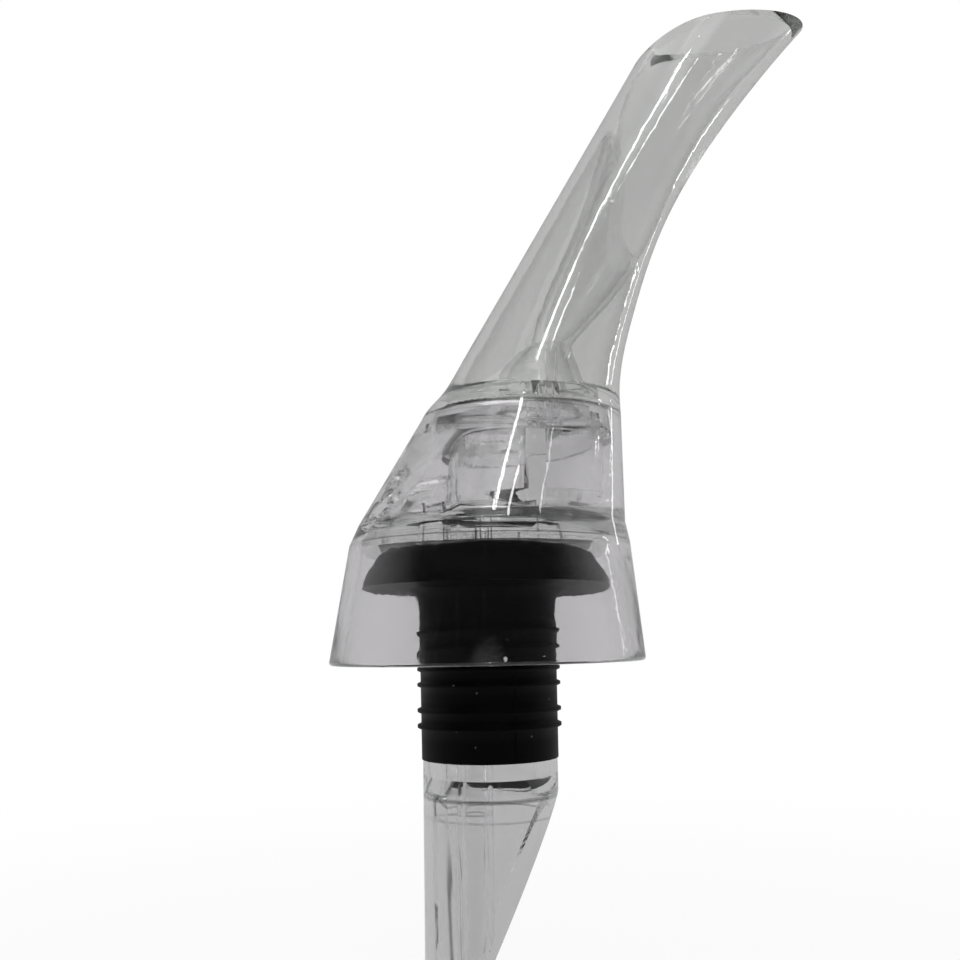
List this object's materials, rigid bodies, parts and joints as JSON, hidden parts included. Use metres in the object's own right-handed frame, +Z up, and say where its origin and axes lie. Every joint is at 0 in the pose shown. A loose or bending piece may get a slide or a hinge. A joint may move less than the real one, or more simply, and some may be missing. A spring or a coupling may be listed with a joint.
{
  "type": "wine pourer",
  "caption": "Clear aerating wine pourer: a leaning beak on a bell-shaped housing with an air intake, a ribbed rubber stopper and a slanted tube that reaches into the bottle.",
  "frame": {"origin": "on the stopper's axis at the underside of the stopper's flange, which rests on the bottle's lip", "axes": "+Z up along the stopper's axis, +X towards the pouring lip of the beak, +Y completes a right-handed frame; the part is symmetric about the XZ plane"},
  "size_m": [0.0728, 0.0438, 0.1513],
  "materials": {
    "beak_clear": "clear, polished",
    "housing_clear": "clear, polished",
    "cup_clear": "clear, polished",
    "tube_clear": "clear, polished",
    "stopper_rubber": "satin"
  },
  "bodies": {
    "root": {"spout": "beak_clear", "housing": "housing_clear", "mixing_cup": "cup_clear", "wine_tube": "tube_clear", "stopper": "stopper_rubber"}
  },
  "joints": []
}
